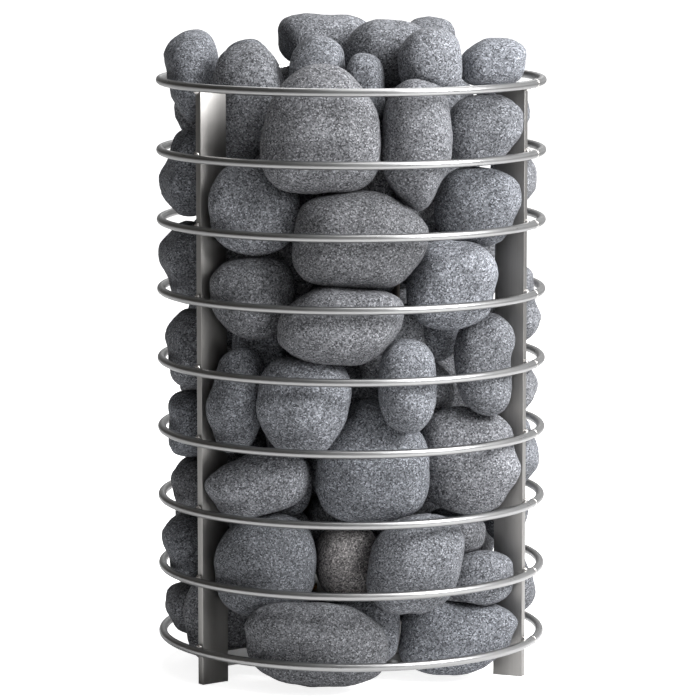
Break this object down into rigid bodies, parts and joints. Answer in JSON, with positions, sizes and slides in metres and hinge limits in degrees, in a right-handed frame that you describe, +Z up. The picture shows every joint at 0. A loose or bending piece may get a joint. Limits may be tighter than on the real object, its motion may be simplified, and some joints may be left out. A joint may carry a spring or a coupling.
{
  "type": "hot stone heater",
  "caption": "Floor-standing electric stone heater: an open round cage of steel rings on flat-bar posts, heaped with rounded stones.",
  "frame": {"origin": "on the floor under the middle of the cage", "axes": "+Z up, -Y to the front, +X to the right seen from the front"},
  "size_m": [0.38, 0.3798, 0.6403],
  "materials": {
    "granite": "matt, speckled",
    "cage_steel": "satin",
    "base_steel": "dull",
    "screw_steel": "plain",
    "element_sheath": "heat-darkened",
    "brass": "plain",
    "seal_rubber": "matt",
    "lead_sleeve": "matt",
    "ceramic": "matt"
  },
  "bodies": {
    "heater": {"access_cover": "base_steel", "arm_left": "base_steel", "arm_rear": "base_steel", "arm_right": "base_steel", "base_plate": "base_steel", "cable_conduit": "base_steel", "core_stones": "granite", "cover_screws": "screw_steel", "drum_lid": "base_steel", "earth_nut": "screw_steel", "earth_stud": "screw_steel", "element_bushes": "brass", "element_left": "element_sheath", "element_nuts": "brass", "element_rear": "element_sheath", "element_right": "element_sheath", "gland_body": "brass", "gland_nut": "brass", "gland_seal": "seal_rubber", "phase_leads": "lead_sleeve", "post_left": "cage_steel", "post_rear": "cage_steel", "post_right": "cage_steel", "ring_1": "cage_steel", "ring_2": "cage_steel", "ring_3": "cage_steel", "ring_4": "cage_steel", "ring_5": "cage_steel", "ring_6": "cage_steel", "ring_7": "cage_steel", "ring_8": "cage_steel", "ring_9": "cage_steel", "ring_welds": "cage_steel", "star_link": "brass", "stones_course_1": "granite", "stones_course_2": "granite", "stones_course_3": "granite", "stones_course_4": "granite", "stones_course_5": "granite", "stones_course_6": "granite", "stones_course_7": "granite", "stones_course_8": "granite", "terminal_block": "ceramic", "terminal_drum": "base_steel", "terminal_pins": "brass", "terminal_screws": "screw_steel"},
    "crown_stone_1": {"crown_stone_1": "granite"},
    "crown_stone_2": {"crown_stone_2": "granite"},
    "crown_stone_3": {"crown_stone_3": "granite"},
    "crown_stone_4": {"crown_stone_4": "granite"},
    "crown_stone_5": {"crown_stone_5": "granite"},
    "crown_stone_6": {"crown_stone_6": "granite"},
    "crown_stone_7": {"crown_stone_7": "granite"},
    "crown_stone_8": {"crown_stone_8": "granite"},
    "crown_stone_9": {"crown_stone_9": "granite"},
    "crown_stone_10": {"crown_stone_10": "granite"},
    "crown_stone_11": {"crown_stone_11": "granite"},
    "crown_stone_12": {"crown_stone_12": "granite"},
    "crown_stone_13": {"crown_stone_13": "granite"}
  },
  "joints": [
    {"name": "lift_crown_stone_1", "type": "slide", "parent": "heater", "child": "crown_stone_1", "axis": [0, 0, 1], "range_m": [0, 0.15]},
    {"name": "lift_crown_stone_2", "type": "slide", "parent": "heater", "child": "crown_stone_2", "axis": [0, 0, 1], "range_m": [0, 0.15]},
    {"name": "lift_crown_stone_3", "type": "slide", "parent": "heater", "child": "crown_stone_3", "axis": [0, 0, 1], "range_m": [0, 0.15]},
    {"name": "lift_crown_stone_4", "type": "slide", "parent": "heater", "child": "crown_stone_4", "axis": [0, 0, 1], "range_m": [0, 0.15]},
    {"name": "lift_crown_stone_5", "type": "slide", "parent": "heater", "child": "crown_stone_5", "axis": [0, 0, 1], "range_m": [0, 0.15]},
    {"name": "lift_crown_stone_6", "type": "slide", "parent": "heater", "child": "crown_stone_6", "axis": [0, 0, 1], "range_m": [0, 0.15]},
    {"name": "lift_crown_stone_7", "type": "slide", "parent": "heater", "child": "crown_stone_7", "axis": [0, 0, 1], "range_m": [0, 0.15]},
    {"name": "lift_crown_stone_8", "type": "slide", "parent": "heater", "child": "crown_stone_8", "axis": [0, 0, 1], "range_m": [0, 0.15]},
    {"name": "lift_crown_stone_9", "type": "slide", "parent": "heater", "child": "crown_stone_9", "axis": [0, 0, 1], "range_m": [0, 0.15]},
    {"name": "lift_crown_stone_10", "type": "slide", "parent": "heater", "child": "crown_stone_10", "axis": [0, 0, 1], "range_m": [0, 0.15]},
    {"name": "lift_crown_stone_11", "type": "slide", "parent": "heater", "child": "crown_stone_11", "axis": [0, 0, 1], "range_m": [0, 0.15]},
    {"name": "lift_crown_stone_12", "type": "slide", "parent": "heater", "child": "crown_stone_12", "axis": [0, 0, 1], "range_m": [0, 0.15]},
    {"name": "lift_crown_stone_13", "type": "slide", "parent": "heater", "child": "crown_stone_13", "axis": [0, 0, 1], "range_m": [0, 0.15]}
  ]
}
